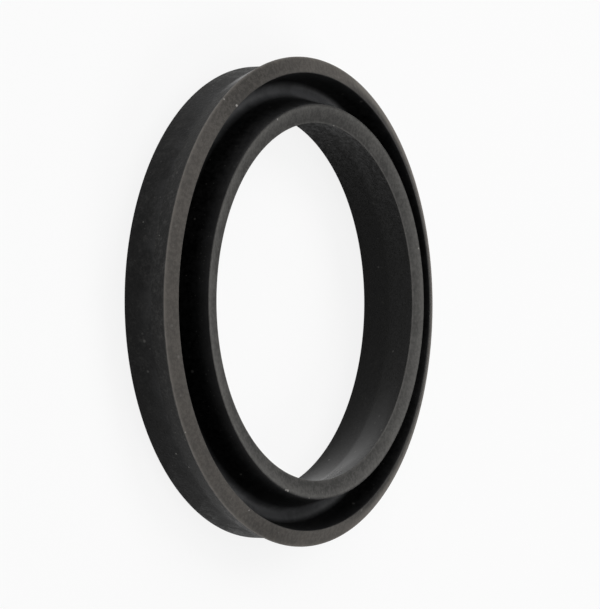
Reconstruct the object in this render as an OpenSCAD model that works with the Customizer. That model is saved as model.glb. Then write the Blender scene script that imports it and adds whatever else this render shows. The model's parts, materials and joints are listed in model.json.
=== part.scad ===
// Piston seal: a rubber U-cup ring moulded in one piece.
// The heel is the solid back of the ring. The outer lip flares away from the axis and wipes the
// cylinder wall. The taller inner lip leans towards the axis and grips the floor of the piston's groove.
// The ring lies on its back face at z = 0, with its axis along Z and both lips facing up.

/* [Heel] */
// Diameter of the straight flank behind the outer lip
flank_d = 49.8; // [45:0.1:56]
// Width of the heel, from the flank to the straight bore behind the inner lip
heel_w = 4.9; // [4.2:0.05:5.6]
// Radius of the two moulded corners on the back face
heel_corner_r = 0.1; // [0.05:0.05:0.5]

/* [Outer lip] */
// How far the sealing edge stands out past the flank
lip_reach = 0.85; // [0.4:0.05:1.4]
// Height of the sealing edge above the back face
lip_edge_h = 5.45; // [4.7:0.05:6.2]
// Lean of the lip away from the axis, in degrees
lip_lean = 22; // [16:1:30]
// Thickness of the lip at its square-cut end
lip_t = 1.84; // [1.4:0.02:2.2]
// Radius of the hollow where the flank turns out into the lip
flare_r = 2.5; // [1:0.1:4]

/* [Inner lip] */
// Height of the inner lip's top corner above the back face, before its edge is rounded
seal_h = 7.4; // [6.8:0.05:8.6]
// How far the gripping edge stands in past the bore
tip_reach = 1.25; // [0.7:0.05:1.8]
// Lean of the lip towards the axis, in degrees
tip_lean = 18.5; // [14:0.5:25]
// Width of the lip's end face
tip_t = 1.98; // [1.5:0.02:2.4]
// Fall of the end face towards the axis, in degrees
tip_slope = 10; // [4:1:16]
// Radius of the end face's outer edge
tip_edge_r = 0.15; // [0.05:0.05:0.4]
// Radius of the hollow where the bore turns in to the lip
throat_r = 1.5; // [0.8:0.1:3]

/* [Groove between the lips] */
// Height of the groove's floor above the back face
groove_floor_h = 3.25; // [2.4:0.05:4]
// Radius of the groove's rounded floor
groove_floor_r = 0.95; // [0.6:0.05:1.2]

/* [Hidden] */
// Segments round the ring, and round each arc of its section
ring_fn = 180;
arc_fn = 64;
// Each arc runs this far past tangency, so that it crosses its neighbours cleanly
arc_join = 0.002;
// Overlap of a corner piece with the side it is joined to or cut from
corner_overlap = 0.1;

// Radii of the heel, and of the circle along the middle of the groove's floor
flank_r = flank_d / 2;
bore_r = flank_r - heel_w;
groove_r = (flank_r + bore_r) / 2;

// Corners of the heel and the outer lip, as [radius, height]
heel_in = [bore_r, 0];
heel_out = [flank_r, 0];
lip_edge = [flank_r + lip_reach, lip_edge_h];
lip_brow = lip_edge + lip_t * [-cos(lip_lean), sin(lip_lean)];
flare_foot = [flank_r, lip_edge_h - lip_reach / tan(lip_lean)];

// Corners of the inner lip
tip_mouth = [bore_r - tip_reach, seal_h - tip_t * sin(tip_slope)];
tip_top = [tip_mouth.x + tip_t * cos(tip_slope), seal_h];
throat = [bore_r, tip_mouth.y - tip_reach / tan(tip_lean)];

// Feet of the groove's walls, where they run into the rounded floor
groove_centre = [groove_r, groove_floor_h + groove_floor_r];
groove_out = wall_foot(lip_brow, -1);
groove_in = wall_foot(tip_top, 1);

// Unit vector along v
function unit(v) = v / norm(v);

// Point where a line from edge runs into the groove's floor, on the side given by turn (1 or -1)
function wall_foot(edge, turn) =
    let (
        to_edge = edge - groove_centre,
        foot_r = groove_floor_r - arc_join,
        bearing = atan2(to_edge.y, to_edge.x) + turn * acos(foot_r / norm(to_edge))
    )
    groove_centre + foot_r * [cos(bearing), sin(bearing)];

// What lies between a corner of the section and an arc of radius r that touches both of its sides.
// It rounds an outside corner when it is cut away, and fills an inside corner when it is added.
// The corner and its two neighbours are given in the outline's own order.
module corner_piece(before, corner, after, r) {
    to_before = unit(before - corner);
    to_after = unit(after - corner);
    middle = unit(to_before + to_after);
    half_angle = acos(to_before * to_after) / 2;
    centre = corner + middle * r / sin(half_angle);
    reach = r / tan(half_angle);
    difference() {
        polygon([
            corner - middle * corner_overlap,
            corner + to_before * reach,
            centre,
            corner + to_after * reach
        ]);
        translate(centre) circle(r + arc_join, $fn = arc_fn);
    }
}

// Straight-sided section of the ring, before its corners are rounded
module section_outline() {
    polygon([
        heel_in, heel_out, flare_foot, lip_edge, lip_brow,
        groove_out, groove_in, tip_top, tip_mouth, throat
    ]);
}

// Section of the ring, with the axis at x = 0
module seal_section() {
    difference() {
        union() {
            section_outline();
            corner_piece(heel_out, flare_foot, lip_edge, flare_r);
            corner_piece(tip_mouth, throat, heel_in, throat_r);
        }
        corner_piece(throat, heel_in, heel_out, heel_corner_r);
        corner_piece(heel_in, heel_out, flare_foot, heel_corner_r);
        corner_piece(groove_in, tip_top, tip_mouth, tip_edge_r);
        translate(groove_centre) circle(groove_floor_r, $fn = arc_fn);
    }
}

// The whole seal, turned from its section
module seal_ring() {
    color([0.13, 0.13, 0.13])
        rotate_extrude($fn = ring_fn)
            seal_section();
}

seal_ring();
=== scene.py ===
"""Looks of a moulded rubber piston seal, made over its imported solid.

The seal is one flexible ring. Its heel has a plain back, its outer lip flares past the flank, its inner
lip leans into the bore, and a round-floored groove parts the two. The lips' ends are trimmed, so they
show a paler, drier rubber than the moulded skin of the rest.
"""

import json
import logging
import math
from abc import ABC, abstractmethod
from collections.abc import Iterable, Sequence
from dataclasses import dataclass, field
from enum import Enum
from typing import Any

import bpy
import numpy as np
from mathutils import Matrix, Vector


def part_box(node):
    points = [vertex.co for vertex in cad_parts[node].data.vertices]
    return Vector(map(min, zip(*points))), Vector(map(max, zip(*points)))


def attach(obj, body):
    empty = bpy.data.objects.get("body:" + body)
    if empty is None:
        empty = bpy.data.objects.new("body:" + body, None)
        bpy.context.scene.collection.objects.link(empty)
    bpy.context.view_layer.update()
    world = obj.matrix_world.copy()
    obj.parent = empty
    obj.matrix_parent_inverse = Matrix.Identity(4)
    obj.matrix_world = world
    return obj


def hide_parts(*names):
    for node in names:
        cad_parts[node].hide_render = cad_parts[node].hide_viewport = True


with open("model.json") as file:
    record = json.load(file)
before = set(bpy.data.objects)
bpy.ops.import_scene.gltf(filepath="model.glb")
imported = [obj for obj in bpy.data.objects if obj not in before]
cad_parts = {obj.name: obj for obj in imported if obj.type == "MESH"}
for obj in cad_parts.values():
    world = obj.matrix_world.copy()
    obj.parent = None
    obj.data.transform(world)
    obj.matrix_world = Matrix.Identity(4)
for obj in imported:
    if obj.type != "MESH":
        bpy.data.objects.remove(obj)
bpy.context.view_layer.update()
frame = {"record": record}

LOG = logging.getLogger("piston_seal")

MM = 0.001
SOLID_NODE = "seal_ring"
BODY = "root"

# Values stored on the mesh for the finishes, and the flat layout of its skin
RUB_AND_HIGHLIGHT = "rub_and_highlight"
ACROSS = "across"
BAKE_MAP = "OFBake"

# Socket types of the node groups
VECTOR = "NodeSocketVector"
NUMBER = "NodeSocketFloat"

# How strongly an edge's pale line shows: partly wear, partly a painted edge highlight
FAINT_EDGE_LINE = 0.15
FULL_EDGE_LINE = 1.0

# Weight of each axis in a plain distance
EVEN = Vector((1.0, 1.0, 1.0))

Colour = tuple[float, float, float]
Stops = tuple[tuple[float, float], ...]
FleckSpot = tuple[Vector, float, float]
Socket = bpy.types.NodeSocket


class Run(Enum):
    """The stretches of the section's outline, in order round it from the bore's back corner."""

    BACK = "flat back of the heel"
    FLANK = "straight outer flank"
    FLARE = "flared outer face of the outer lip"
    LIP_END = "trimmed end of the outer lip"
    LIP_WALL = "groove wall of the outer lip"
    TIP_WALL = "groove wall of the inner lip"
    TIP_END = "trimmed end of the inner lip"
    TAPER = "leaning bore face of the inner lip"
    BORE = "straight bore of the heel"


class Lip(Enum):
    """The two lips, which wave and wear on their own."""

    OUTER = "outer lip"
    INNER = "inner lip"


class Finish(Enum):
    """The finishes of the ring, each on its own runs."""

    HEEL = "moulded skin of the heel"
    FLARE = "moulded skin under the outer lip"
    # The groove's skin is painted darker as shade in the recess.
    GROOVE = "shade_darkened skin of the groove"
    BORE = "moulded skin of the bore"
    OUTER_END = "trimmed end of the outer lip"
    INNER_END = "trimmed end of the inner lip"


FINISH_OF = {
    Run.BACK: Finish.HEEL,
    Run.FLANK: Finish.HEEL,
    Run.FLARE: Finish.FLARE,
    Run.LIP_END: Finish.OUTER_END,
    Run.LIP_WALL: Finish.GROOVE,
    Run.TIP_WALL: Finish.GROOVE,
    Run.TIP_END: Finish.INNER_END,
    Run.TAPER: Finish.BORE,
    Run.BORE: Finish.BORE,
}
LIP_RUNS = {
    Lip.OUTER: (Run.FLARE, Run.LIP_END, Run.LIP_WALL),
    Lip.INNER: (Run.TIP_WALL, Run.TIP_END, Run.TAPER),
}


@dataclass(frozen=True)
class Corner:
    """A corner of the section before rounding, with the run that leaves it.

    The steps are the facets of its rounding, shared by the run that arrives and the one that leaves, and
    the rub is how strongly its edge's pale line shows, partly wear and partly a painted highlight.
    """

    place: Vector
    radius: float
    leaving: Run
    steps: int
    rub: float = 0.0


@dataclass(frozen=True)
class Station:
    """A point of the rounded outline, the run that leaves it, and how strongly its pale edge line shows,
    partly wear and partly a painted highlight.
    """

    place: Vector
    run: Run
    rub: float


@dataclass(frozen=True)
class SealSection:
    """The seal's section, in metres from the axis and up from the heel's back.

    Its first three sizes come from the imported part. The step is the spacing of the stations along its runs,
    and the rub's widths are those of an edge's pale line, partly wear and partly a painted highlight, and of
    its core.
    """

    lip_edge: Vector
    bore_r: float
    tip_mouth_h: float
    heel_w: float = 4.9 * MM
    heel_corner_r: float = 0.1 * MM
    lip_lean: float = math.radians(22.0)
    lip_t: float = 1.84 * MM
    lip_edge_r: float = 0.03 * MM
    lip_brow_r: float = 0.12 * MM
    flare_r: float = 2.5 * MM
    tip_reach: float = 1.25 * MM
    tip_lean: float = math.radians(18.5)
    tip_t: float = 1.98 * MM
    tip_slope: float = math.radians(10.0)
    tip_edge_r: float = 0.15 * MM
    tip_mouth_r: float = 0.03 * MM
    throat_r: float = 1.5 * MM
    groove_floor_h: float = 3.25 * MM
    groove_floor_r: float = 0.95 * MM
    step: float = 0.32 * MM
    rub_w: float = 0.14 * MM
    rub_core_w: float = 0.049 * MM

    @classmethod
    def from_frame(cls, record: dict[str, Any]) -> "SealSection":
        """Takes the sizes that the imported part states.

        Args:
            record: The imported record, with the part's mounts.

        Returns:
            The section, with its own finer sizes at their defaults.
        """
        mounts = {mount["name"]: mount for mount in record["mounts"]}
        _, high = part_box(SOLID_NODE)
        return cls(
            lip_edge=Vector((high.x, mounts["sealing_edge"]["pos_m"][2])),
            bore_r=mounts["heel_bore"]["dims"]["r_mm"] * MM,
            tip_mouth_h=mounts["gripping_edge"]["pos_m"][2],
        )

    @property
    def flank_r(self) -> float:
        """Radius of the straight flank."""
        return self.bore_r + self.heel_w

    @property
    def tip_mouth(self) -> Vector:
        """The inner lip's bore edge, the tightest point of the ring."""
        return Vector((self.bore_r - self.tip_reach, self.tip_mouth_h))

    @property
    def tip_top(self) -> Vector:
        """The inner lip's highest corner, over the groove."""
        across = Vector((math.cos(self.tip_slope), math.sin(self.tip_slope)))
        return self.tip_mouth + self.tip_t * across

    @property
    def lip_brow(self) -> Vector:
        """The outer lip's corner over the groove."""
        across = Vector((-math.cos(self.lip_lean), math.sin(self.lip_lean)))
        return self.lip_edge + self.lip_t * across

    @property
    def groove_centre(self) -> Vector:
        """Centre of the groove's round floor."""
        return Vector((self.bore_r + self.heel_w / 2, self.groove_floor_h + self.groove_floor_r))

    @property
    def groove_root(self) -> Vector:
        """Finds where the groove's two walls would meet without the round floor.

        Returns:
            The point, as a radius and a height.
        """
        outer, outer_way = self._wall_line(self.lip_brow, side=-1.0)
        inner, inner_way = self._wall_line(self.tip_top, side=1.0)
        gap = inner - outer
        turn = outer_way.x * inner_way.y - outer_way.y * inner_way.x
        along = (gap.x * inner_way.y - gap.y * inner_way.x) / turn
        return outer + outer_way * along

    def _wall_line(self, edge: Vector, side: float) -> tuple[Vector, Vector]:
        """Finds the line from a lip's edge that just touches the groove's floor circle.

        Args:
            edge: The lip's edge over the groove.
            side: 1 or -1, the side of the circle that the wall touches.

        Returns:
            The edge, and the wall's direction down from it.
        """
        to_centre = self.groove_centre - edge
        swing = side * math.asin(self.groove_floor_r / to_centre.length)
        heading = math.atan2(to_centre.y, to_centre.x) - swing
        return edge, Vector((math.cos(heading), math.sin(heading)))

    def corners(self) -> list[Corner]:
        """Lists the section's corners in order round it.

        Returns:
            The corners, each with its rounding and the run that leaves it.
        """
        flare_drop = (self.lip_edge.x - self.flank_r) / math.tan(self.lip_lean)
        flare_foot = Vector((self.flank_r, self.lip_edge.y - flare_drop))
        throat = Vector((self.bore_r, self.tip_mouth_h - self.tip_reach / math.tan(self.tip_lean)))
        heel_in = Vector((self.bore_r, 0.0))
        heel_out = Vector((self.flank_r, 0.0))
        return [
            Corner(heel_in, self.heel_corner_r, Run.BACK, steps=6, rub=FAINT_EDGE_LINE),
            Corner(heel_out, self.heel_corner_r, Run.FLANK, steps=6, rub=FAINT_EDGE_LINE),
            Corner(flare_foot, self.flare_r, Run.FLARE, steps=8),
            Corner(self.lip_edge, self.lip_edge_r, Run.LIP_END, steps=4, rub=FULL_EDGE_LINE),
            Corner(self.lip_brow, self.lip_brow_r, Run.LIP_WALL, steps=4, rub=FAINT_EDGE_LINE),
            Corner(self.groove_root, self.groove_floor_r, Run.TIP_WALL, steps=16),
            Corner(self.tip_top, self.tip_edge_r, Run.TIP_END, steps=8, rub=FAINT_EDGE_LINE),
            Corner(self.tip_mouth, self.tip_mouth_r, Run.TAPER, steps=4, rub=FULL_EDGE_LINE),
            Corner(throat, self.throat_r, Run.BORE, steps=6),
        ]

    def outline(self) -> list[Station]:
        """Rounds the corners and divides the runs between them.

        Returns:
            The stations of the closed outline, counter-clockwise.
        """
        corners = self.corners()
        count = len(corners)
        arcs = [self._arc(corners[i - 1], corners[i], corners[(i + 1) % count]) for i in range(count)]
        stations: list[Station] = []
        for i, corner in enumerate(corners):
            ahead = corners[(i + 1) % count]
            handover = corner.steps // 2
            for k, place in enumerate(arcs[i][:-1]):
                run = corners[i - 1].leaving if k < handover else corner.leaving
                stations.append(Station(place, run, corner.rub))
            stations += self._straight(arcs[i][-1], arcs[(i + 1) % count][0], corner, ahead)
        return stations

    @staticmethod
    def _arc(before: Corner, corner: Corner, after: Corner) -> list[Vector]:
        """Rounds one corner.

        Args:
            before: The corner before it.
            corner: The corner to round.
            after: The corner after it.

        Returns:
            The points of its rounding, tangent to both runs.
        """
        back = (before.place - corner.place).normalized()
        onward = (after.place - corner.place).normalized()
        half = math.acos(max(-1.0, min(1.0, back.dot(onward)))) / 2
        reach = corner.radius / math.tan(half)
        centre = corner.place + (back + onward).normalized() * corner.radius / math.sin(half)
        first = corner.place + back * reach - centre
        last = corner.place + onward * reach - centre
        sweep = math.atan2(first.x * last.y - first.y * last.x, first.dot(last))
        turns = [sweep * k / corner.steps for k in range(corner.steps + 1)]
        return [centre + Matrix.Rotation(turn, 2) @ first for turn in turns]

    def _straight(self, start: Vector, end: Vector, corner: Corner, ahead: Corner) -> list[Station]:
        """Divides the straight part of a run, with closer stations beside an edge's pale line.

        Args:
            start: Where the run leaves its first corner's rounding.
            end: Where it reaches the next corner's rounding.
            corner: The corner that it leaves.
            ahead: The corner that it reaches.

        Returns:
            The stations from the start, without the end.
        """
        length = (end - start).length
        pieces = max(1, round(length / self.step))
        places = {length * k / pieces for k in range(pieces)}
        for close in (self.rub_core_w, self.rub_w):
            if corner.rub == FULL_EDGE_LINE:
                places.add(close)
            if ahead.rub == FULL_EDGE_LINE:
                places.add(length - close)
        stations = []
        for place in sorted(places):
            behind = corner.rub * max(0.0, 1.0 - place / self.rub_w)
            before = ahead.rub * max(0.0, 1.0 - (length - place) / self.rub_w)
            stations.append(Station(start.lerp(end, place / length), corner.leaving, max(behind, before)))
        return stations

    def place_on(self, run: Run, along: float, azimuth: float) -> Vector:
        """Finds a place on the ring, before its corners are rounded.

        Args:
            run: The run of the outline.
            along: The share of the run's length from its start.
            azimuth: The place round the ring, in degrees.

        Returns:
            The place in space.
        """
        corners = self.corners()
        at = next(i for i, corner in enumerate(corners) if corner.leaving is run)
        flat = corners[at].place.lerp(corners[(at + 1) % len(corners)].place, along)
        turn = math.radians(azimuth)
        return Vector((flat.x * math.cos(turn), flat.x * math.sin(turn), flat.y))


@dataclass(frozen=True)
class LipWave:
    """The slight unevenness that trimming and packing leave in a lip.

    Each swell is a count of waves round the ring, a height and a turn in radians. The lift is how far the
    lip's end rises as it drifts away from the axis.
    """

    lip: Lip
    swells: tuple[tuple[int, float, float], ...]
    lift: float

    def drift(self, azimuths: np.ndarray) -> np.ndarray:
        """Gives the lip's sideways drift at each azimuth, in metres."""
        return sum(size * np.cos(count * azimuths + turn) for count, size, turn in self.swells)


@dataclass(frozen=True)
class Fleck:
    """A fleck of dust or lint at rest on the ring.

    It lies at a share of its run's length and at an azimuth in degrees. Its shade is how strongly it shows.
    """

    run: Run
    along: float
    azimuth: float
    size: float
    shade: float = 1.0


class Wiring:
    """Adds nodes to one tree and links them."""

    def __init__(self, tree: bpy.types.NodeTree) -> None:
        """Starts on an empty or a cleared tree."""
        self.tree = tree
        self.tree.nodes.clear()

    def add(self, kind: str, **settings: Any) -> bpy.types.Node:
        """Adds a node.

        Args:
            kind: The node's Blender type.
            settings: Its properties, by name.

        Returns:
            The node.
        """
        node = self.tree.nodes.new(kind)
        for name, value in settings.items():
            setattr(node, name, value)
        return node

    def feed(self, socket: Socket, source: Any) -> None:
        """Links a socket to a source, or sets it where the source is a plain value.

        Args:
            socket: The input to fill.
            source: An output socket, a number, a vector or a colour.
        """
        if isinstance(source, bpy.types.NodeSocket):
            self.tree.links.new(source, socket)
        elif socket.type == "RGBA":
            socket.default_value = (*source, 1.0)
        else:
            socket.default_value = source

    def math(self, operation: str, *terms: Any, clamp: bool = False) -> Socket:
        """Adds a Math node.

        Args:
            operation: What it does.
            terms: Its inputs, as sockets or numbers.
            clamp: Whether its result is kept between 0 and 1.

        Returns:
            Its result.
        """
        node = self.add("ShaderNodeMath", operation=operation, use_clamp=clamp)
        for socket, term in zip(node.inputs, terms):
            self.feed(socket, term)
        return node.outputs["Value"]

    def vector_math(self, operation: str, *terms: Any) -> bpy.types.Node:
        """Adds a Vector Math node.

        Args:
            operation: What it does.
            terms: Its inputs, as sockets or vectors.

        Returns:
            The node.
        """
        node = self.add("ShaderNodeVectorMath", operation=operation)
        for socket, term in zip(node.inputs, terms):
            self.feed(socket, term)
        return node

    def stored(self, name: str) -> Socket:
        """Reads a value that is stored on the mesh."""
        return self.add("ShaderNodeAttribute", attribute_name=name).outputs["Fac"]

    def pull(self, value: Socket, goal: float, share: Socket) -> Socket:
        """Pulls a value some of the way to a goal.

        Args:
            value: The value.
            goal: The goal.
            share: How much of the way it goes.

        Returns:
            The pulled value.
        """
        gap = self.math("SUBTRACT", goal, value)
        return self.math("MULTIPLY_ADD", gap, share, value)

    def ramp(self, value: Any, low: Any, high: Any, start: float = 0.0, end: float = 1.0) -> Socket:
        """Maps a range of a value smoothly to another range.

        Args:
            value: The value to map.
            low: Where the range starts.
            high: Where the range ends.
            start: The result at the low end.
            end: The result at the high end.

        Returns:
            The mapped value.
        """
        node = self.add("ShaderNodeMapRange", interpolation_type="SMOOTHSTEP")
        self.feed(node.inputs["Value"], value)
        self.feed(node.inputs["From Min"], low)
        self.feed(node.inputs["From Max"], high)
        self.feed(node.inputs["To Min"], start)
        self.feed(node.inputs["To Max"], end)
        return node.outputs["Result"]

    def blend(self, share: Any, first: Any, second: Any) -> Socket:
        """Mixes two colours.

        Args:
            share: How much of the second colour shows.
            first: The first colour.
            second: The second colour.

        Returns:
            The mixed colour.
        """
        node = self.add("ShaderNodeMix", data_type="RGBA")
        self.feed(node.inputs["Factor"], share)
        colours = [socket for socket in node.inputs if socket.type == "RGBA"]
        for socket, source in zip(colours, (first, second)):
            self.feed(socket, source)
        return next(socket for socket in node.outputs if socket.type == "RGBA")

    def profile(self, value: Any, stops: Stops) -> Socket:
        """Shapes a value by a line through a few stops.

        Args:
            value: The value to shape, from 0 to 1.
            stops: Places along it in order, each with the result there.

        Returns:
            The shaped value.
        """
        node = self.add("ShaderNodeValToRGB")
        self.feed(node.inputs["Fac"], value)
        elements = node.color_ramp.elements
        while len(elements) < len(stops):
            elements.new(1.0)
        for element, (place, result) in zip(elements, stops):
            element.position = place
            element.color = (result, result, result, 1.0)
        return node.outputs["Color"]

    def distance(self, place: Socket, centre: Vector, stretch: Vector = EVEN) -> Socket:
        """Measures how far a place is from a fixed point.

        Args:
            place: Where it is measured.
            centre: The fixed point.
            stretch: How much each axis counts.

        Returns:
            The distance.
        """
        stretched = self.vector_math("MULTIPLY", place, stretch)
        away = self.vector_math("DISTANCE", stretched.outputs["Vector"], centre * stretch)
        return away.outputs["Value"]

    def noise(self, vector: Socket, scale: Any, detail: float, roughness: float = 0.5) -> Socket:
        """Adds a noise texture.

        Args:
            vector: Where it is read.
            scale: How many of its lumps fit in a metre.
            detail: How many finer layers it has.
            roughness: How strong the finer layers are.

        Returns:
            Its value, from 0 to 1.
        """
        node = self.add("ShaderNodeTexNoise")
        self.feed(node.inputs["Vector"], vector)
        self.feed(node.inputs["Scale"], scale)
        node.inputs["Detail"].default_value = detail
        node.inputs["Roughness"].default_value = roughness
        return node.outputs["Fac"]

    def place(self, group: bpy.types.NodeTree, **inputs: Any) -> bpy.types.Node:
        """Places a node group.

        Args:
            group: The group.
            inputs: What feeds its inputs, by name with _ for a space.

        Returns:
            The group's node.
        """
        node = self.add("ShaderNodeGroup", node_tree=group)
        for name, source in inputs.items():
            self.feed(node.inputs[name.replace("_", " ")], source)
        return node


class Effects:
    """The surface effects that the seal's finishes share, each built once as a node group."""

    def __init__(self, flecks: Iterable[FleckSpot]) -> None:
        """Builds the groups.

        Args:
            flecks: The place, size and shade of each fleck at rest on the ring.
        """
        self.grain = self._rubber_grain()
        self.rub = self._rub_and_highlight_line()
        self.dust = self._fine_dust()
        self.flecks = self._resting_flecks(flecks)

    @staticmethod
    def _group(
        name: str, inputs: dict[str, str], outputs: Iterable[str]
    ) -> tuple[Wiring, dict[str, Socket], bpy.types.Node]:
        """Starts a node group.

        Args:
            name: The group's name.
            inputs: Its inputs' socket types, by name.
            outputs: Its outputs' names, all plain values.

        Returns:
            Its wiring, its inputs by name and its output node.
        """
        tree = bpy.data.node_groups.new(name, "ShaderNodeTree")
        for title, kind in inputs.items():
            tree.interface.new_socket(name=title, in_out="INPUT", socket_type=kind)
        for title in outputs:
            tree.interface.new_socket(name=title, in_out="OUTPUT", socket_type=NUMBER)
        wiring = Wiring(tree)
        source = wiring.add("NodeGroupInput")
        result = wiring.add("NodeGroupOutput")
        return wiring, {title: source.outputs[title] for title in inputs}, result

    def _rubber_grain(self) -> bpy.types.NodeTree:
        """Builds the fine pebbling of the rubber and its cloudy patches.

        Returns:
            A group with a grain height, and masks of the pebbles and of the patches.
        """
        wiring, given, result = self._group(
            "rubber_grain",
            {"Place": VECTOR, "Grain Count": NUMBER, "Patch Count": NUMBER},
            ("Height", "Pebbles", "Patches"),
        )
        pebbles = wiring.noise(given["Place"], given["Grain Count"], detail=3.0, roughness=0.68)
        clouds = wiring.noise(given["Place"], given["Patch Count"], detail=4.0, roughness=0.6)
        wiring.feed(result.inputs["Height"], pebbles)
        wiring.feed(result.inputs["Pebbles"], wiring.ramp(pebbles, low=0.42, high=0.58))
        wiring.feed(result.inputs["Patches"], wiring.ramp(clouds, low=0.36, high=0.64))
        return wiring.tree

    def _rub_and_highlight_line(self) -> bpy.types.NodeTree:
        """Builds the broken pale line along an edge, partly wear from handling and partly a painted edge
        highlight.

        Returns:
            A group with a mask of the rubbed rubber.
        """
        wiring, given, result = self._group(
            "rub_and_highlight_line", {"Place": VECTOR, "Break Count": NUMBER, "Amount": NUMBER}, ("Mask",)
        )
        breaks = wiring.noise(given["Place"], given["Break Count"], detail=3.0)
        whole = wiring.ramp(breaks, low=0.3, high=0.7, start=0.35, end=1.0)
        line = wiring.math("MULTIPLY", wiring.stored(RUB_AND_HIGHLIGHT), whole)
        wiring.feed(result.inputs["Mask"], wiring.math("MULTIPLY", line, given["Amount"]))
        return wiring.tree

    def _fine_dust(self) -> bpy.types.NodeTree:
        """Builds the fine dust that clings to rubber.

        Returns:
            A group with a mask of the specks.
        """
        wiring, given, result = self._group(
            "fine_dust", {"Place": VECTOR, "Cell Count": NUMBER, "Share": NUMBER}, ("Mask",)
        )
        smallest = 0.1
        spread = 0.22
        core = 0.4
        cells = wiring.add("ShaderNodeTexVoronoi")
        wiring.feed(cells.inputs["Vector"], given["Place"])
        wiring.feed(cells.inputs["Scale"], given["Cell Count"])
        draw = wiring.add("ShaderNodeSeparateColor")
        wiring.feed(draw.inputs["Color"], cells.outputs["Color"])
        held = wiring.math("LESS_THAN", draw.outputs["Red"], given["Share"])
        size = wiring.math("MULTIPLY_ADD", draw.outputs["Green"], spread, smallest)
        speck = wiring.ramp(cells.outputs["Distance"], wiring.math("MULTIPLY", size, core), size, 1.0, 0.0)
        seen = wiring.math("MULTIPLY", held, speck)
        wiring.feed(result.inputs["Mask"], wiring.math("MULTIPLY", seen, draw.outputs["Blue"]))
        return wiring.tree

    def _resting_flecks(self, flecks: Iterable[FleckSpot]) -> bpy.types.NodeTree:
        """Builds the larger flecks, each at its own place.

        Args:
            flecks: The place, size and shade of each.

        Returns:
            A group with a mask of the flecks.
        """
        wiring, given, result = self._group("resting_flecks", {"Place": VECTOR}, ("Mask",))
        ragged_count = 9000.0
        least = 0.4
        spread = 1.2
        core = 0.5
        ragged = wiring.noise(given["Place"], ragged_count, detail=2.0)
        outline = wiring.math("MULTIPLY_ADD", ragged, spread, least)
        total: Any = 0.0
        for place, size, shade in flecks:
            away = wiring.distance(given["Place"], place)
            edge = wiring.math("MULTIPLY", outline, size / 2)
            spot = wiring.ramp(away, wiring.math("MULTIPLY", edge, core), edge, shade, 0.0)
            total = wiring.math("MAXIMUM", total, spot)
        wiring.feed(result.inputs["Mask"], total)
        return wiring.tree


@dataclass(frozen=True)
class Bench:
    """What the parts of one finish share while its material is made."""

    wiring: Wiring
    shader: bpy.types.Node
    place: Socket
    effects: Effects
    section: SealSection


@dataclass(frozen=True)
class PolishedPatch:
    """A place that handling has rubbed smoother.

    It is full round its middle and none past its reach. Squat is how much sooner it ends along the axis
    than round the ring, flatten is how much of the grain is gone at its middle, and gloss is the weight of
    the smooth coat there.
    """

    run: Run
    along: float
    azimuth: float
    full: float
    reach: float
    roughness: float
    squat: float = 1.0
    flatten: float = 0.8
    gloss: float = 0.0

    def smooth(self, bench: Bench, roughness: Socket, relief: Socket) -> tuple[Socket, Socket]:
        """Smooths the place and gives it its gloss.

        Args:
            bench: The material's bench.
            roughness: The skin's roughness.
            relief: The skin's relief.

        Returns:
            The roughness and the relief, with the place smoothed.
        """
        wiring = bench.wiring
        middle = bench.section.place_on(self.run, self.along, self.azimuth)
        away = wiring.distance(bench.place, middle, Vector((1.0, 1.0, self.squat)))
        mask = wiring.ramp(away, self.full, self.reach, 1.0, 0.0)
        kept = wiring.math("MULTIPLY_ADD", mask, -self.flatten, 1.0)
        if self.gloss > 0.0:
            bench.shader.inputs["Coat Roughness"].default_value = self.roughness
            wiring.feed(bench.shader.inputs["Coat Weight"], wiring.math("MULTIPLY", mask, self.gloss))
        return wiring.pull(roughness, self.roughness, mask), wiring.math("MULTIPLY", relief, kept)


@dataclass(frozen=True)
class PaintedLightPatch:
    """A stretch of a lip where an effect is weaker, or stronger where its depth is below 0. It paints shade
    and light round the ring, darker where less light falls and paler where more does.

    Its azimuth is in degrees.
    """

    azimuth: float
    reach: float
    depth: float

    def lower(self, bench: Bench, value: Any, middle: Vector) -> Socket:
        """Lowers a value over the stretch.

        Args:
            bench: The material's bench.
            value: The value, as a socket or a number.
            middle: The middle of the stretch.

        Returns:
            The value, lower by the full depth at the middle.
        """
        away = bench.wiring.distance(bench.place, middle)
        drop = bench.wiring.ramp(away, 0.0, self.reach, self.depth, 0.0)
        return bench.wiring.math("SUBTRACT", value, drop)


@dataclass(frozen=True)
class PaintedSideShading:
    """A side of the ring where a lip's end gets painted light and shade across it: a painted highlight by its
    first edge and painted shade toward its second.

    Its azimuth is in degrees. It is full near there and none past its reach. The profile is how pale the end
    is painted from its first edge to its second, and the mottle's share is how much of the face's mottle it
    keeps.
    """

    azimuth: float
    full: float
    reach: float
    profile: Stops
    worn: Colour
    dry: Colour
    mottle_share: float

    def cover(self, bench: Bench, colour: Socket, mottle: Socket, middle: Vector) -> Socket:
        """Lays the side's painted light and shade over a face's colour.

        Args:
            bench: The material's bench.
            colour: The face's colour.
            mottle: How much drier or less dry each point of the face is.
            middle: The middle of the side.

        Returns:
            The colour, with the side's wear.
        """
        wiring = bench.wiring
        near = wiring.ramp(wiring.distance(bench.place, middle), self.full, self.reach, 1.0, 0.0)
        shape = wiring.profile(wiring.stored(ACROSS), self.profile)
        tone = wiring.math("MULTIPLY_ADD", mottle, self.mottle_share, shape, clamp=True)
        return wiring.blend(near, colour, wiring.blend(tone, self.worn, self.dry))


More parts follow.
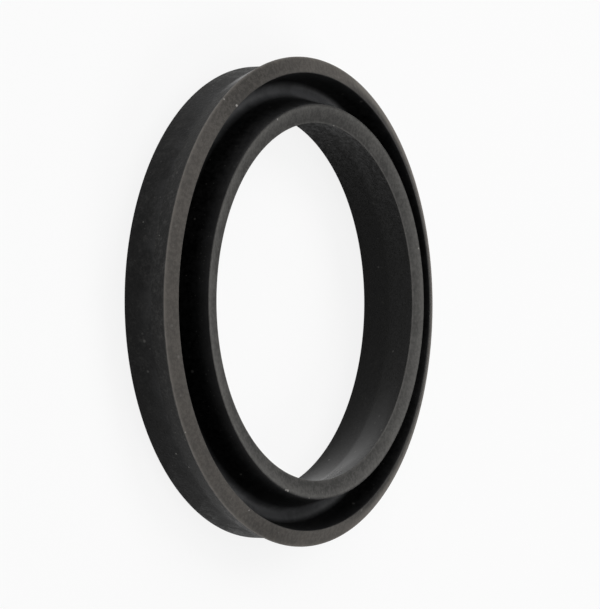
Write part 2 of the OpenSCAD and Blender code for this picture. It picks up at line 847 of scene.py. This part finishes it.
@dataclass(frozen=True)
class RubAndHighlightLine:
    """The pale line along a finish's edges, partly wear from handling and partly a painted edge highlight.

    The break count is how many of its breaks fit in a metre, and the patches are stretches of the outer
    lip's edge where it is weaker or stronger, as painted shade and light.
    """

    colour: Colour
    amount: float
    break_count: float
    patches: tuple[PaintedLightPatch, ...] = ()

    def mask(self, bench: Bench) -> Socket:
        """Masks the line in a material.

        Args:
            bench: The material's bench.

        Returns:
            The mask.
        """
        amount: Any = self.amount
        for patch in self.patches:
            middle = bench.section.place_on(Run.LIP_END, along=0.0, azimuth=patch.azimuth)
            amount = patch.lower(bench, amount, middle)
        line = bench.wiring.place(
            bench.effects.rub, Place=bench.place, Break_Count=self.break_count, Amount=amount
        )
        return line.outputs["Mask"]


@dataclass(frozen=True)
class DustCoat:
    """What has settled on a finish: specks, a finer powder, and the flecks at rest on the ring.

    The depths are how strongly specks and powder show, the counts are how many cells of each fit in a
    metre, and the shares are how many of those cells hold one.
    """

    colour: Colour
    speck_depth: float
    powder_depth: float = 0.10
    speck_count: float = 1300.0
    speck_share: float = 0.10
    powder_count: float = 2800.0
    powder_share: float = 0.45

    def mask(self, bench: Bench) -> Socket:
        """Masks the dust in a material.

        Args:
            bench: The material's bench.

        Returns:
            The mask.
        """
        wiring = bench.wiring
        flecks = wiring.place(bench.effects.flecks, Place=bench.place)
        total = flecks.outputs["Mask"]
        for count, share, depth in (
            (self.speck_count, self.speck_share, self.speck_depth),
            (self.powder_count, self.powder_share, self.powder_depth),
        ):
            grains = wiring.place(bench.effects.dust, Place=bench.place, Cell_Count=count, Share=share)
            total = wiring.math("MAXIMUM", total, wiring.math("MULTIPLY", grains.outputs["Mask"], depth))
        return total


@dataclass(frozen=True)
class DustAndPaintedLightFilm:
    """The pale film on a skin, partly fine dust and partly painted light and shade laid out by its thickness.

    The thickness goes from a run's first edge to its second, and in the groove from each lip's edge down to
    the floor. Uneven is how far the film varies in clouds, and the cloud count is how many fit in a metre.
    """

    colour: Colour
    thickness: Stops
    uneven: float
    roughness: float = 0.55
    cloud_count: float = 420.0

    def settle(self, bench: Bench, colour: Socket, roughness: Socket) -> tuple[Socket, Socket]:
        """Lays the film of dust and painted light and shade over a skin.

        Args:
            bench: The material's bench.
            colour: The skin's colour.
            roughness: The skin's roughness.

        Returns:
            The colour and the roughness, with the film.
        """
        wiring = bench.wiring
        clouds = wiring.noise(bench.place, self.cloud_count, detail=4.0, roughness=0.6)
        cover = wiring.ramp(clouds, low=0.34, high=0.66)
        varied = wiring.math("MULTIPLY_ADD", cover, 2.0 * self.uneven, 1.0 - self.uneven)
        thick = wiring.profile(wiring.stored(ACROSS), self.thickness)
        mask = wiring.math("MULTIPLY", thick, varied, clamp=True)
        return wiring.blend(mask, colour, self.colour), wiring.pull(roughness, self.roughness, mask)


@dataclass(frozen=True)
class Rubber:
    """What a finish makes of its rubber, before its pale edge lines and dust."""

    colour: Socket
    roughness: Socket
    relief: Socket


@dataclass(frozen=True, kw_only=True)
class RubberFinish(ABC):
    """What every finish of the ring has: its own rubber, with grain, pale edge lines and dust. The edge lines
    are partly wear and partly a painted highlight.

    The roughness goes from the smoothest to the roughest of its mottle. The counts are how many grains and
    patches fit in a metre.
    """

    name: str
    roughness: tuple[float, float]
    specular: float
    rub: RubAndHighlightLine
    dust: DustCoat
    grain_count: float = 2600.0
    patch_count: float = 1200.0
    grain_depth: float = 0.010 * MM

    def build(self, effects: Effects, section: SealSection) -> bpy.types.Material:
        """Makes the material.

        Args:
            effects: The shared effects.
            section: The ring's section, for the places of patches.

        Returns:
            The material.
        """
        material = bpy.data.materials.new(self.name)
        material.use_nodes = True
        wiring = Wiring(material.node_tree)
        shader = wiring.add("ShaderNodeBsdfPrincipled")
        shader.inputs["Specular IOR Level"].default_value = self.specular
        surface = wiring.add("ShaderNodeOutputMaterial")
        wiring.feed(surface.inputs["Surface"], shader.outputs["BSDF"])
        place = wiring.add("ShaderNodeTexCoord").outputs["Object"]
        bench = Bench(wiring, shader, place, effects, section)
        grain = wiring.place(
            effects.grain, Place=place, Grain_Count=self.grain_count, Patch_Count=self.patch_count
        )
        rubber = self._rubber(bench, grain)
        colour = wiring.blend(self.rub.mask(bench), rubber.colour, self.rub.colour)
        specks = self.dust.mask(bench)
        wiring.feed(shader.inputs["Base Color"], wiring.blend(specks, colour, self.dust.colour))
        wiring.feed(shader.inputs["Roughness"], rubber.roughness)
        bump = wiring.add("ShaderNodeBump")
        bump.inputs["Distance"].default_value = self.grain_depth
        wiring.feed(bump.inputs["Height"], wiring.math("ADD", rubber.relief, specks))
        wiring.feed(shader.inputs["Normal"], bump.outputs["Normal"])
        return material

    @abstractmethod
    def _rubber(self, bench: Bench, grain: bpy.types.Node) -> Rubber:
        """Makes the finish's own rubber.

        Args:
            bench: The material's bench.
            grain: The placed grain group.

        Returns:
            Its colour, roughness and relief.
        """


@dataclass(frozen=True, kw_only=True)
class MouldedSkin(RubberFinish):
    """The black skin that the mould leaves, finely mottled.

    The mottle goes from the deep colour to the bloom. It mixes pebbles with larger patches, and the higher
    its sparseness, the less of the bloom shows. A film, partly dust and partly painted light and shade, may
    lie on the skin, and a place may be polished.
    """

    deep: Colour
    bloom: Colour
    pebble_share: float = 0.58
    sparseness: float = 1.0
    polish: PolishedPatch | None = None
    film: DustAndPaintedLightFilm | None = None

    def _rubber(self, bench: Bench, grain: bpy.types.Node) -> Rubber:
        """Makes the skin.

        Args:
            bench: The material's bench.
            grain: The placed grain group.

        Returns:
            Its colour, roughness and relief.
        """
        wiring = bench.wiring
        clouds = wiring.math("MULTIPLY", grain.outputs["Patches"], 1.0 - self.pebble_share)
        mottle = wiring.math("MULTIPLY_ADD", grain.outputs["Pebbles"], self.pebble_share, clouds)
        colour = wiring.blend(wiring.math("POWER", mottle, self.sparseness), self.deep, self.bloom)
        smoothest, roughest = self.roughness
        roughness = wiring.ramp(mottle, 0.0, 1.0, smoothest, roughest)
        relief = grain.outputs["Height"]
        if self.polish is not None:
            roughness, relief = self.polish.smooth(bench, roughness, relief)
        if self.film is not None:
            colour, roughness = self.film.settle(bench, colour, roughness)
        return Rubber(colour, roughness, relief)


@dataclass(frozen=True, kw_only=True)
class TrimmedFace(RubberFinish):
    """The drier, paler rubber where a lip's end was trimmed.

    The profile sets the face's tone from its first edge to its second, between the worn colour and the dry
    one: partly drier trimmed rubber, partly a painted highlight by its first edge and painted shade toward
    its second. The patches paint shade and light round the ring, and the side, where given, paints light and
    shade across one side of it. The mottle adds up pebbles, patches and the trimming's rings, each by its
    share.
    """

    run: Run
    profile: Stops
    worn: Colour
    dry: Colour
    patches: tuple[PaintedLightPatch, ...]
    side: PaintedSideShading | None = None
    mottle_depth: float
    pebble_share: float = 0.4
    patch_share: float = 0.35
    ring_share: float = 0.25
    ring_count: float = 5200.0
    ring_detail: float = 2.0
    ring_relief: float = 0.5

    def _rubber(self, bench: Bench, grain: bpy.types.Node) -> Rubber:
        """Makes the face.

        Args:
            bench: The material's bench.
            grain: The placed grain group.

        Returns:
            Its colour, roughness and relief.
        """
        wiring = bench.wiring
        rings = self._trim_rings(bench)
        mottle = self._mottle(wiring, grain, rings)
        shape = wiring.profile(wiring.stored(ACROSS), self.profile)
        # The patches paint shade and light at some azimuths, where light falls less or more.
        for patch in self.patches:
            middle = bench.section.place_on(self.run, along=0.5, azimuth=patch.azimuth)
            shape = patch.lower(bench, shape, middle)
        colour = wiring.blend(wiring.math("ADD", shape, mottle, clamp=True), self.worn, self.dry)
        # The side paints a highlight by the first edge and shade toward the second across one side of the
        # ring.
        if self.side is not None:
            middle = bench.section.place_on(self.run, along=0.5, azimuth=self.side.azimuth)
            colour = self.side.cover(bench, colour, mottle, middle)
        smoothest, roughest = self.roughness
        roughness = wiring.ramp(grain.outputs["Patches"], 0.0, 1.0, smoothest, roughest)
        relief = wiring.math("MULTIPLY_ADD", rings, self.ring_relief, grain.outputs["Height"])
        return Rubber(colour, roughness, relief)

    def _mottle(self, wiring: Wiring, grain: bpy.types.Node, rings: Socket) -> Socket:
        """Adds up the pebbles, the patches and the trimming's rings.

        Args:
            wiring: The material's wiring.
            grain: The placed grain group.
            rings: The trimming's rings.

        Returns:
            How much drier or less dry each point is, about 0 on the whole.
        """
        middle = (self.pebble_share + self.patch_share + self.ring_share) / 2
        faint = wiring.math("MULTIPLY", rings, self.ring_share)
        clouds = wiring.math("MULTIPLY_ADD", grain.outputs["Patches"], self.patch_share, faint)
        total = wiring.math("MULTIPLY_ADD", grain.outputs["Pebbles"], self.pebble_share, clouds)
        return wiring.math("MULTIPLY", wiring.math("SUBTRACT", total, middle), self.mottle_depth)

    def _trim_rings(self, bench: Bench) -> Socket:
        """Adds the faint rings that the trimming blade leaves.

        Args:
            bench: The material's bench.

        Returns:
            The rings, from 0 to 1.
        """
        wiring = bench.wiring
        flat = wiring.vector_math("MULTIPLY", bench.place, Vector((1.0, 1.0, 0.0)))
        radius = wiring.vector_math("LENGTH", flat.outputs["Vector"])
        rings = wiring.add("ShaderNodeTexNoise", noise_dimensions="1D")
        wiring.feed(rings.inputs["W"], radius.outputs["Value"])
        rings.inputs["Scale"].default_value = self.ring_count
        rings.inputs["Detail"].default_value = self.ring_detail
        return rings.outputs["Fac"]


SKIN_DUST: Colour = (0.22, 0.215, 0.205)
END_DUST: Colour = (0.30, 0.29, 0.275)
SKIN_BREAKS = 900.0
END_BREAKS = 700.0
FAINT_LINE = RubAndHighlightLine(colour=(0.030, 0.029, 0.028), amount=0.8, break_count=SKIN_BREAKS)

FINISHES: dict[Finish, RubberFinish] = {
    Finish.HEEL: MouldedSkin(
        name="heel_skin",
        deep=(0.0012, 0.0012, 0.0012),
        bloom=(0.0322, 0.0319, 0.0313),
        roughness=(0.47, 0.75),
        specular=0.12,
        rub=FAINT_LINE,
        dust=DustCoat(SKIN_DUST, speck_depth=0.35, powder_depth=0.18),
        grain_count=3400.0,
        patch_count=900.0,
        grain_depth=0.060 * MM,
        pebble_share=0.40,
        sparseness=1.8,
        # Partly dust, partly painted shading: the film thickens along each run, so the flank is paler toward
        # the flare.
        film=DustAndPaintedLightFilm(
            colour=(0.0340, 0.0343, 0.0350),
            thickness=((0.0, 0.03), (0.3, 0.06), (0.55, 0.12), (0.8, 0.30), (1.0, 0.42)),
            uneven=0.7,
        ),
    ),
    # Its bloom is paler than the heel's as painted sheen; its pale line at the lip's edge is partly wear and
    # partly a painted highlight.
    Finish.FLARE: MouldedSkin(
        name="flare_skin",
        deep=(0.0040, 0.0040, 0.0039),
        bloom=(0.0503, 0.0500, 0.0492),
        roughness=(0.46, 0.72),
        specular=0.12,
        rub=RubAndHighlightLine(
            colour=(0.165, 0.159, 0.150),
            amount=0.8,
            break_count=SKIN_BREAKS,
            patches=(PaintedLightPatch(248.0, 22.0 * MM, 0.40), PaintedLightPatch(335.0, 9.0 * MM, -0.30)),
        ),
        dust=DustCoat(SKIN_DUST, speck_depth=0.35, powder_depth=0.16),
        grain_count=3400.0,
        patch_count=1000.0,
        grain_depth=0.060 * MM,
        pebble_share=0.45,
        sparseness=1.8,
        polish=PolishedPatch(
            Run.FLARE, along=1.0, azimuth=203.0, full=0.5 * MM, reach=4.5 * MM, roughness=0.26
        ),
    ),
    # Painted shade: darker than the other skins in the recess. Its film is pale on the floor, partly dust and
    # partly a painted highlight, and paler by the lips' edges.
    Finish.GROOVE: MouldedSkin(
        name="groove_skin",
        deep=(0.0, 0.0, 0.0),
        bloom=(0.0040, 0.0040, 0.0040),
        roughness=(0.34, 0.42),
        specular=0.09,
        rub=FAINT_LINE,
        dust=DustCoat(SKIN_DUST, speck_depth=0.30, powder_depth=0.12),
        film=DustAndPaintedLightFilm(
            colour=(0.0600, 0.0610, 0.0635),
            thickness=(
                (0.0, 0.20), (0.10, 0.12), (0.25, 0.05), (0.40, 0.0),
                (0.70, 0.0), (0.81, 0.42), (0.90, 0.88), (0.96, 1.0),
            ),
            uneven=0.25,
            roughness=0.48,
        ),
    ),
    Finish.BORE: MouldedSkin(
        name="bore_skin",
        deep=(0.0060, 0.0060, 0.0059),
        bloom=(0.0275, 0.0274, 0.0269),
        roughness=(0.52, 0.86),
        specular=0.115,
        rub=RubAndHighlightLine(colour=(0.060, 0.058, 0.055), amount=0.8, break_count=SKIN_BREAKS),
        dust=DustCoat(SKIN_DUST, speck_depth=0.35),
        grain_count=3000.0,
        grain_depth=0.020 * MM,
        polish=PolishedPatch(
            Run.TAPER, along=0.75, azimuth=9.0, full=3.0 * MM, reach=20.0 * MM, roughness=0.25,
            squat=3.6, gloss=0.46,
        ),
    ),
    # The profile is partly drier trimmed rubber, partly a painted highlight by the outer edge and painted
    # shade toward the brow. Its patches paint shade and light round the ring.
    Finish.OUTER_END: TrimmedFace(
        name="outer_lip_end",
        run=Run.LIP_END,
        profile=(
            (0.0, 0.80), (0.07, 0.92), (0.13, 0.74), (0.22, 0.53),
            (0.85, 0.55), (0.95, 0.40), (1.0, 0.25),
        ),
        worn=(0.0402, 0.0370, 0.0335),
        dry=(0.1165, 0.1070, 0.0970),
        patches=(
            PaintedLightPatch(204.0, 13.0 * MM, 0.45),
            PaintedLightPatch(183.0, 7.0 * MM, 0.12),
            PaintedLightPatch(342.0, 7.0 * MM, 0.30),
            PaintedLightPatch(25.0, 9.0 * MM, -0.10),
            PaintedLightPatch(278.0, 14.0 * MM, -0.08),
        ),
        # Painted light and shade on the far side: a painted highlight by the outer edge and painted shade
        # toward the brow.
        side=PaintedSideShading(
            azimuth=90.0,
            full=24.5 * MM,
            reach=31.5 * MM,
            profile=(
                (0.0, 0.94), (0.1, 0.94), (0.2, 0.87), (0.35, 0.70),
                (0.5, 0.48), (0.65, 0.25), (0.83, 0.06), (1.0, 0.0),
            ),
            worn=(0.024, 0.0228, 0.0216),
            dry=(0.166, 0.1530, 0.1385),
            mottle_share=0.45,
        ),
        mottle_depth=0.65,
        roughness=(0.72, 0.86),
        specular=0.2,
        rub=RubAndHighlightLine(
            colour=(0.185, 0.175, 0.163),
            amount=0.75,
            break_count=END_BREAKS,
            patches=(PaintedLightPatch(250.0, 22.0 * MM, 0.35), PaintedLightPatch(335.0, 9.0 * MM, -0.25)),
        ),
        dust=DustCoat(END_DUST, speck_depth=0.30),
        patch_count=520.0,
    ),
    # The profile is partly drier trimmed rubber, partly a painted highlight by the groove-side edge and
    # painted shade toward the bore. Its patches paint shade and light round the ring.
    Finish.INNER_END: TrimmedFace(
        name="inner_lip_end",
        run=Run.TIP_END,
        profile=(
            (0.0, 0.05), (0.05, 0.36), (0.10, 0.78), (0.17, 0.80), (0.23, 0.66), (0.32, 0.56),
            (0.48, 0.41), (0.60, 0.34), (0.75, 0.26), (0.86, 0.22), (0.93, 0.34), (1.0, 0.30),
        ),
        worn=(0.036, 0.0351, 0.0331),
        dry=(0.105, 0.1023, 0.0970),
        patches=(
            PaintedLightPatch(178.0, 12.0 * MM, 0.20),
            PaintedLightPatch(5.0, 10.0 * MM, 0.14),
            PaintedLightPatch(285.0, 11.0 * MM, -0.12),
            PaintedLightPatch(80.0, 24.0 * MM, -0.10),
        ),
        mottle_depth=0.75,
        roughness=(0.72, 0.86),
        specular=0.2,
        rub=RubAndHighlightLine(colour=(0.098, 0.095, 0.090), amount=0.75, break_count=END_BREAKS),
        dust=DustCoat(END_DUST, speck_depth=0.30),
        patch_count=520.0,
    ),
}
DUST_FLECKS = (
    Fleck(Run.TIP_END, 0.07, 341.0, 0.34 * MM),
    Fleck(Run.TIP_END, 0.09, 342.0, 0.40 * MM),
    Fleck(Run.LIP_WALL, 0.63, 148.0, 0.40 * MM, 0.8),
    Fleck(Run.LIP_END, 0.90, 214.0, 0.38 * MM),
    Fleck(Run.LIP_END, 0.10, 216.0, 0.24 * MM, 0.8),
    Fleck(Run.FLANK, 0.78, 308.0, 0.26 * MM),
    Fleck(Run.FLARE, 0.03, 312.0, 0.24 * MM),
    Fleck(Run.TIP_END, 0.12, 203.0, 0.26 * MM),
    Fleck(Run.TAPER, 0.27, 137.0, 0.24 * MM, 0.8),
    Fleck(Run.TIP_END, 0.04, 353.5, 0.26 * MM, 0.8),
    Fleck(Run.LIP_END, 0.05, 300.5, 0.20 * MM, 0.8),
    Fleck(Run.LIP_END, 0.86, 331.5, 0.22 * MM, 0.8),
    Fleck(Run.TIP_END, 0.14, 106.5, 0.26 * MM, 0.8),
    Fleck(Run.FLANK, 0.43, 251.0, 0.20 * MM, 0.7),
    Fleck(Run.FLARE, 0.25, 254.5, 0.20 * MM, 0.7),
    Fleck(Run.FLARE, 0.19, 301.5, 0.20 * MM, 0.7),
    Fleck(Run.TAPER, 0.81, 20.5, 0.22 * MM),
    Fleck(Run.TIP_END, 0.95, 170.5, 0.24 * MM, 0.7),
)


@dataclass
class SealRing:
    """The ring: its section turned round the axis, with its lips' slight unevenness."""

    section: SealSection
    segments: int = 640
    waves: tuple[LipWave, ...] = (
        LipWave(Lip.OUTER, ((2, 0.045 * MM, 5.66), (3, 0.064 * MM, 4.16), (4, 0.057 * MM, 3.28)), 0.0),
        LipWave(Lip.INNER, ((1, 0.038 * MM, 4.37), (3, 0.051 * MM, 4.43), (4, 0.017 * MM, 3.90)), 0.4),
    )
    flecks: tuple[Fleck, ...] = DUST_FLECKS
    map_margin: float = 0.006
    piece: bpy.types.Object | None = field(default=None, init=False)
    stations: list[Station] = field(default_factory=list, init=False)

    def build(self) -> bpy.types.Object:
        """Makes the mesh and puts it in the frame.

        Returns:
            The ring.
        """
        self.stations = self.section.outline()
        count = len(self.stations)
        azimuths = np.linspace(0.0, 2.0 * math.pi, self.segments, endpoint=False)
        radii, heights = self._turned(azimuths)
        places = np.stack(
            (radii * np.cos(azimuths)[:, None], radii * np.sin(azimuths)[:, None], heights), axis=-1
        )
        here = np.arange(self.segments)[:, None] * count
        ahead = np.roll(here, -1, axis=0)
        step = np.arange(count)[None, :]
        after = (step + 1) % count
        faces = np.stack((here + step, ahead + step, ahead + after, here + after), axis=-1)
        mesh = bpy.data.meshes.new("piston_seal")
        mesh.from_pydata(places.reshape(-1, 3).tolist(), [], faces.reshape(-1, 4).tolist())
        mesh.polygons.foreach_set("use_smooth", np.ones(len(mesh.polygons), dtype=bool))
        self.piece = bpy.data.objects.new("piston_seal", mesh)
        bpy.context.scene.collection.objects.link(self.piece)
        self._mark_edges(mesh)
        self._mark_across(mesh)
        self._unroll(mesh)
        mesh.update()
        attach(self.piece, BODY)
        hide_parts(SOLID_NODE)
        return self.piece

    def dress(self, finishes: dict[Finish, bpy.types.Material]) -> None:
        """Puts each finish on its runs.

        Args:
            finishes: The material of each finish.
        """
        mesh = self.piece.data
        order = list(finishes)
        for finish in order:
            mesh.materials.append(finishes[finish])
        row = np.array([order.index(FINISH_OF[station.run]) for station in self.stations], dtype=np.int32)
        mesh.polygons.foreach_set("material_index", np.tile(row, self.segments))

    def fleck_places(self) -> list[FleckSpot]:
        """Finds where the flecks lie.

        Returns:
            The place, size and shade of each fleck.
        """
        return [
            (self.section.place_on(fleck.run, fleck.along, fleck.azimuth), fleck.size, fleck.shade)
            for fleck in self.flecks
        ]

    def _turned(self, azimuths: np.ndarray) -> tuple[np.ndarray, np.ndarray]:
        """Places every station at every azimuth.

        Args:
            azimuths: The azimuths, in radians.

        Returns:
            The radii and the heights, a row for each azimuth.
        """
        radii = np.tile([station.place.x for station in self.stations], (self.segments, 1))
        heights = np.tile([station.place.y for station in self.stations], (self.segments, 1))
        for wave in self.waves:
            follow = self._follow(wave.lip)
            drift = wave.drift(azimuths)[:, None] * follow[None, :]
            radii += drift
            heights += wave.lift * drift
        return radii, heights

    def _follow(self, lip: Lip) -> np.ndarray:
        """Tells how far each station moves with a lip.

        Args:
            lip: The lip.

        Returns:
            A share for each station: none at the groove's floor, all at the lip's end.
        """
        low = self.section.groove_floor_h
        shares = []
        for station in self.stations:
            rise = (station.place.y - low) / (self.section.lip_edge.y - low)
            rise = max(0.0, min(1.0, rise))
            eased = rise * rise * (3.0 - 2.0 * rise)
            shares.append(eased if station.run in LIP_RUNS[lip] else 0.0)
        return np.array(shares)

    def _mark_edges(self, mesh: bpy.types.Mesh) -> None:
        """Stores how strongly each point's pale edge line shows, partly wear and partly a painted highlight.

        Args:
            mesh: The ring's mesh.
        """
        row = np.array([station.rub for station in self.stations], dtype=np.float32)
        layer = mesh.attributes.new(RUB_AND_HIGHLIGHT, "FLOAT", "POINT")
        layer.data.foreach_set("value", np.tile(row, self.segments))

    def _steps(self) -> np.ndarray:
        """Measures the outline from each station to the next."""
        places = np.array([station.place[:] for station in self.stations])
        return np.linalg.norm(np.roll(places, -1, axis=0) - places, axis=1)

    def _mark_across(self, mesh: bpy.types.Mesh) -> None:
        """Stores how far across its run each face's corner is, and in the groove how deep, from 0 to 1.

        Args:
            mesh: The ring's mesh.
        """
        steps = self._steps()
        walked = np.zeros((len(self.stations), 2))
        for run in Run:
            here = np.array([station.run is run for station in self.stations])
            turned = np.roll(here, 1) & here
            first = int(np.flatnonzero(here & ~turned)[0])
            order = (first + np.arange(here.sum())) % len(here)
            ends = np.cumsum(steps[order])
            walked[order, 1] = ends / ends[-1]
            walked[order, 0] = (ends - steps[order]) / ends[-1]
            if run is Run.TIP_WALL:
                walked[order] = 1.0 - walked[order]
        row = walked[:, (0, 0, 1, 1)].astype(np.float32)
        layer = mesh.attributes.new(ACROSS, "FLOAT", "CORNER")
        layer.data.foreach_set("value", np.tile(row.ravel(), self.segments))

    def _unroll(self, mesh: bpy.types.Mesh) -> None:
        """Lays the skin out flat as two half rings, one above the other, for its colour map.

        Args:
            mesh: The ring's mesh.
        """
        strips = 2
        strip_h = 1.0 / strips
        margin = self.map_margin
        steps = self._steps()
        walked = np.concatenate(([0.0], np.cumsum(steps))) / steps.sum()
        columns = np.arange(self.segments)
        strip_segments = self.segments // strips
        left = (columns % strip_segments) / strip_segments
        right = left + 1.0 / strip_segments
        foot = (columns // strip_segments) * strip_h
        across = np.stack((left, right, right, left), axis=-1)
        across = margin + across * (1.0 - 2.0 * margin)
        up = np.stack((walked[:-1], walked[:-1], walked[1:], walked[1:]), axis=-1)
        up = margin + up * (strip_h - 2.0 * margin)
        flat = np.empty((self.segments, len(steps), 4, 2), dtype=np.float32)
        flat[..., 0] = across[:, None, :]
        flat[..., 1] = up[None, :, :] + foot[:, None, None]
        mesh.uv_layers.new(name=BAKE_MAP).data.foreach_set("uv", flat.ravel())


@dataclass(frozen=True)
class Lamp:
    """A soft round lamp: where it hangs, in degrees round and over the ring, its width and its power."""

    name: str
    azimuth: float
    elevation: float
    distance: float
    width: float
    watts: float

    def hang(self, aim: Vector) -> bpy.types.Object:
        """Hangs the lamp, facing the ring.

        Args:
            aim: What it faces.

        Returns:
            The lamp.
        """
        data = bpy.data.lights.new(self.name, "AREA")
        data.shape = "DISK"
        data.size = self.width
        data.energy = self.watts
        turn, rise = math.radians(self.azimuth), math.radians(self.elevation)
        away = Vector((math.cos(turn) * math.cos(rise), math.sin(turn) * math.cos(rise), math.sin(rise)))
        lamp = bpy.data.objects.new(self.name, data)
        lamp.location = aim + away * self.distance
        lamp.rotation_euler = away.to_track_quat("Z", "Y").to_euler()
        bpy.context.scene.collection.objects.link(lamp)
        return lamp


@dataclass
class Studio:
    """The pale floor, the pale surroundings and the lamps.

    The floor lies a hair below the heel. The backdrop's share is how much of what the camera sees of the
    floor is plain white, and the rest is its own tone with the ring's shadow.
    """

    floor_side: float = 4.0
    floor_drop: float = 0.02 * MM
    floor_tone: float = 0.82
    backdrop_share: float = 0.85
    world_tone: float = 0.2
    lamps: tuple[Lamp, ...] = (
        Lamp("far_right", azimuth=135.0, elevation=50.0, distance=0.9, width=0.6, watts=3.0),
        Lamp("far_left", azimuth=45.0, elevation=36.0, distance=0.9, width=0.5, watts=2.5),
        Lamp("near_right", azimuth=225.0, elevation=42.0, distance=0.9, width=0.5, watts=1.5),
        Lamp("low_right", azimuth=180.0, elevation=12.0, distance=0.9, width=0.5, watts=2.0),
        Lamp("overhead", azimuth=0.0, elevation=88.0, distance=0.9, width=0.5, watts=1.2),
    )

    def build(self, aim: Vector) -> None:
        """Makes the stage.

        Args:
            aim: What the lamps face.
        """
        self._lay_floor()
        self._light_world()
        for lamp in self.lamps:
            lamp.hang(aim)
            LOG.info("hung lamp %s", lamp.name)

    @staticmethod
    def _seen_directly(wiring: Wiring) -> Socket:
        """Adds a mask of what the camera sees, also by reflection or through glass.

        Args:
            wiring: The wiring of a floor or a world.

        Returns:
            The mask.
        """
        path = wiring.add("ShaderNodeLightPath")
        seen = wiring.math("MAXIMUM", path.outputs["Is Camera Ray"], path.outputs["Is Glossy Ray"])
        return wiring.math("MAXIMUM", seen, path.outputs["Is Transmission Ray"])

    def _lay_floor(self) -> None:
        """Makes the floor, pale by its own colour and still darkened by the ring's shadow."""
        half = self.floor_side / 2
        corners = ((-half, -half), (half, -half), (half, half), (-half, half))
        mesh = bpy.data.meshes.new("floor")
        mesh.from_pydata([(x, y, -self.floor_drop) for x, y in corners], [], [(0, 1, 2, 3)])
        floor = bpy.data.objects.new("floor", mesh)
        bpy.context.scene.collection.objects.link(floor)
        material = bpy.data.materials.new("pale_floor")
        material.use_nodes = True
        wiring = Wiring(material.node_tree)
        matt = wiring.add("ShaderNodeBsdfDiffuse")
        matt.inputs["Color"].default_value = (self.floor_tone,) * 3 + (1.0,)
        glow = wiring.add("ShaderNodeEmission")
        share = wiring.math("MULTIPLY", self._seen_directly(wiring), self.backdrop_share)
        mix = wiring.add("ShaderNodeMixShader")
        for socket, source in zip(mix.inputs, (share, matt.outputs["BSDF"], glow.outputs["Emission"])):
            wiring.feed(socket, source)
        surface = wiring.add("ShaderNodeOutputMaterial")
        wiring.feed(surface.inputs["Surface"], mix.outputs["Shader"])
        mesh.materials.append(material)
        LOG.info("laid floor %.1f m wide", self.floor_side)

    def _light_world(self) -> None:
        """Makes the surroundings, pale and even on every side."""
        world = bpy.data.worlds.new("pale_surroundings")
        bpy.context.scene.world = world
        world.use_nodes = True
        wiring = Wiring(world.node_tree)
        back = wiring.add("ShaderNodeBackground")
        back.inputs["Color"].default_value = (1.0, 1.0, 1.0, 1.0)
        back.inputs["Strength"].default_value = self.world_tone
        surface = wiring.add("ShaderNodeOutputWorld")
        wiring.feed(surface.inputs["Surface"], back.outputs["Background"])


@dataclass(frozen=True)
class PhotoCamera:
    """The photograph's camera, turned on its side because the ring lies flat.

    It faces along +Y from above. The aim is where the outer lip's centre falls in the picture, to the
    right of and above the picture's middle.
    """

    elevation: float = math.radians(33.374)
    roll: float = math.radians(89.744)
    distance: float = 0.41126
    lens: float = 231.43
    sensor: float = 36.0
    aim_right: float = 0.573 * MM
    aim_up: float = 0.260 * MM
    nearest: float = 0.01
    farthest: float = 20.0

    def place(self, centre: Vector) -> bpy.types.Object:
        """Sets up the camera.

        Args:
            centre: The centre of the outer lip's edge.

        Returns:
            The camera.
        """
        level = Vector((1.0, 0.0, 0.0))
        rise = Vector((0.0, math.sin(self.elevation), math.cos(self.elevation)))
        back = Vector((0.0, -math.cos(self.elevation), math.sin(self.elevation)))
        right = math.cos(self.roll) * level + math.sin(self.roll) * rise
        up = -math.sin(self.roll) * level + math.cos(self.roll) * rise
        data = bpy.data.cameras.new("photo_camera")
        data.lens = self.lens
        data.sensor_width = self.sensor
        data.clip_start = self.nearest
        data.clip_end = self.farthest
        camera = bpy.data.objects.new("photo_camera", data)
        spot = centre - right * self.aim_right - up * self.aim_up + back * self.distance
        axes = Matrix((right, up, back)).transposed()
        camera.matrix_world = Matrix.Translation(spot) @ axes.to_4x4()
        bpy.context.scene.collection.objects.link(camera)
        bpy.context.scene.camera = camera
        return camera


def main() -> None:
    """Builds the seal, its finishes, its stage and its camera."""
    logging.basicConfig(level=logging.INFO, format="%(name)s: %(message)s")
    bpy.context.scene.view_settings.view_transform = "Standard"
    section = SealSection.from_frame(frame["record"])
    ring = SealRing(section)
    piece = ring.build()
    LOG.info("built %s with %d faces", piece.name, len(piece.data.polygons))
    effects = Effects(ring.fleck_places())
    finishes = {kind: finish.build(effects, section) for kind, finish in FINISHES.items()}
    ring.dress(finishes)
    LOG.info("dressed %s in %d finishes", piece.name, len(finishes))
    centre = Vector((0.0, 0.0, section.lip_edge.y))
    Studio().build(centre)
    PhotoCamera().place(centre)


if __name__ == "__main__":
    main()
